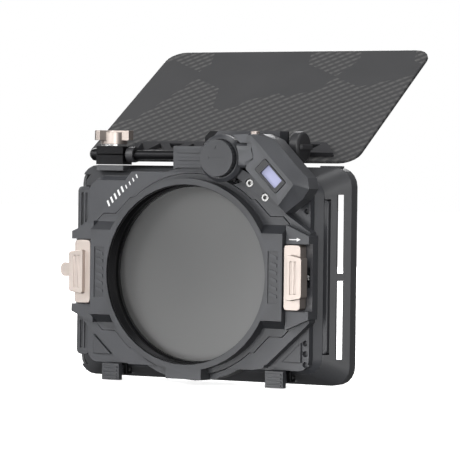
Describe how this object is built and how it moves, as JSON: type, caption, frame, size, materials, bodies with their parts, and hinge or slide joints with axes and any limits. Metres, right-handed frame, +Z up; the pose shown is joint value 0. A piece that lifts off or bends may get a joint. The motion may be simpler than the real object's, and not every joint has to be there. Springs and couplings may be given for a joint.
{
  "type": "matte box",
  "caption": "Clip-on cinema matte box with a motorised variable-ND ring, a filter tray, a flared hood and a tilting top flag; it clamps on a lens front.",
  "frame": {"origin": "on the optical axis, in the plane of the rear lip that faces the lens", "axes": "+X to the right for someone behind the camera, +Y along the optical axis towards the subject, +Z up"},
  "size_m": [0.1701, 0.1426, 0.1811],
  "materials": {
    "body_plastic": "fine matt dark grey",
    "hood_plastic": "matt dark grey with a fine grain",
    "black_metal": "black anodised",
    "bronze": "champagne anodised, satin",
    "steel": "bright turned steel",
    "dark_glass": "coated dark neutral-density glass",
    "carbon": "carbon-fibre sheet with a twill weave, satin",
    "screen": "lit display behind a clear window",
    "gear_plastic": "black acetal",
    "circuit": "green solder mask"
  },
  "bodies": {
    "stage": {"motor_mount_plate": "body_plastic", "ring_housing": "body_plastic", "stage_frame": "body_plastic", "corner_cover_left": "body_plastic", "corner_cover_right": "body_plastic", "top_grip_tab": "body_plastic", "motor_housing": "body_plastic", "motor_cover": "body_plastic", "gear_case": "body_plastic", "tray_stop": "body_plastic", "hood_shell": "hood_plastic", "lens_thread_ring": "black_metal", "retaining_ring": "black_metal", "tray_rail_top": "black_metal", "tray_rail_bottom": "black_metal", "latch_bracket_left": "black_metal", "latch_bracket_right": "black_metal", "display_bezel": "black_metal", "motor_bracket": "black_metal", "flag_clamp_block": "black_metal", "right_hinge_ear": "black_metal", "lever_spring_left": "steel", "lever_spring_right": "steel", "latch_pin_left": "steel", "latch_pin_right": "steel", "motor_can": "steel", "mount_screw_1": "steel", "mount_screw_2": "steel", "clamp_washer": "steel", "rear_polariser": "dark_glass", "display_panel": "screen", "control_board": "circuit"},
    "nd_rotor": {"nd_gear_ring": "gear_plastic", "front_polariser": "dark_glass"},
    "dial": {"control_dial": "body_plastic", "drive_pinion": "gear_plastic"},
    "motor_rotor": {"motor_pinion": "gear_plastic"},
    "lever_left": {"release_lever_left": "bronze"},
    "lever_right": {"release_lever_right": "bronze"},
    "tray": {"filter_tray": "black_metal", "nd_plate_filter": "dark_glass", "tray_end_plate": "body_plastic"},
    "tray_lock": {"tray_lock_paddle": "bronze"},
    "latch_left": {"hood_latch_left": "body_plastic"},
    "latch_right": {"hood_latch_right": "body_plastic"},
    "flag": {"flag_sheet": "carbon", "flag_truss_bar": "body_plastic", "flag_rod": "black_metal"},
    "wing_knob": {"clamp_knob": "bronze"},
    "side_knob": {"lock_knob": "body_plastic"},
    "button": {"mode_button": "bronze"}
  },
  "joints": [
    {"name": "nd_turn", "type": "hinge", "parent": "stage", "child": "nd_rotor", "pos_m": [0, 0.0181, 0], "axis": [0, 1, 0], "range_deg": [0, 90]},
    {"name": "dial_turn", "type": "hinge", "parent": "stage", "child": "dial", "pos_m": [0.02269, -0.0085, 0.06134], "axis": [0, 1, 0], "range_deg": [-401, 1]},
    {"name": "motor_turn", "type": "hinge", "parent": "stage", "child": "motor_rotor", "pos_m": [0.04069, 0.0161, 0.06134], "axis": [0, 1, 0], "range_deg": [-1, 802]},
    {"name": "release_left", "type": "slide", "parent": "stage", "child": "lever_left", "axis": [-1, 0, 0], "range_m": [0, 0.004], "stiffness_N_per_m": 300, "springref_m": -0.003, "deforming": ["lever_spring_left"]},
    {"name": "release_right", "type": "slide", "parent": "stage", "child": "lever_right", "axis": [1, 0, 0], "range_m": [0, 0.004], "stiffness_N_per_m": 300, "springref_m": -0.003, "deforming": ["lever_spring_right"]},
    {"name": "tray_slide", "type": "slide", "parent": "stage", "child": "tray", "axis": [-1, 0, 0], "range_m": [0, 0.14]},
    {"name": "tray_lock_turn", "type": "hinge", "parent": "tray", "child": "tray_lock", "pos_m": [-0.0749, 0.0215, 0], "axis": [1, 0, 0], "range_deg": [0, 90]},
    {"name": "latch_left_turn", "type": "hinge", "parent": "stage", "child": "latch_left", "pos_m": [-0.0492, 0.0205, -0.053], "axis": [-1, 0, 0], "range_deg": [0, 12], "stiffness_Nm_per_rad": 0.02, "springref_deg": -17.19},
    {"name": "latch_right_turn", "type": "hinge", "parent": "stage", "child": "latch_right", "pos_m": [0.0492, 0.0205, -0.053], "axis": [-1, 0, 0], "range_deg": [0, 12], "stiffness_Nm_per_rad": 0.02, "springref_deg": -17.19},
    {"name": "flag_tilt", "type": "hinge", "parent": "stage", "child": "flag", "pos_m": [0, 0.027, 0.0629], "axis": [1, 0, 0], "range_deg": [-7, 14]},
    {"name": "wing_knob_turn", "type": "hinge", "parent": "stage", "child": "wing_knob", "pos_m": [-0.0592, 0.027, 0.0686], "axis": [0, 0, 1], "range_deg": [0, 180]},
    {"name": "side_knob_turn", "type": "hinge", "parent": "stage", "child": "side_knob", "pos_m": [0.0532, 0.0225, 0.0676], "axis": [1, 0, 0], "range_deg": [0, 180]},
    {"name": "button_press", "type": "slide", "parent": "stage", "child": "button", "axis": [0, 0, -1], "range_m": [0, 0.0008], "stiffness_N_per_m": 500, "springref_m": -0.0005}
  ],
  "couplings": [
    {"joint": "dial_turn", "follows": "nd_turn", "ratio": -4.45},
    {"joint": "motor_turn", "follows": "nd_turn", "ratio": 8.9}
  ]
}
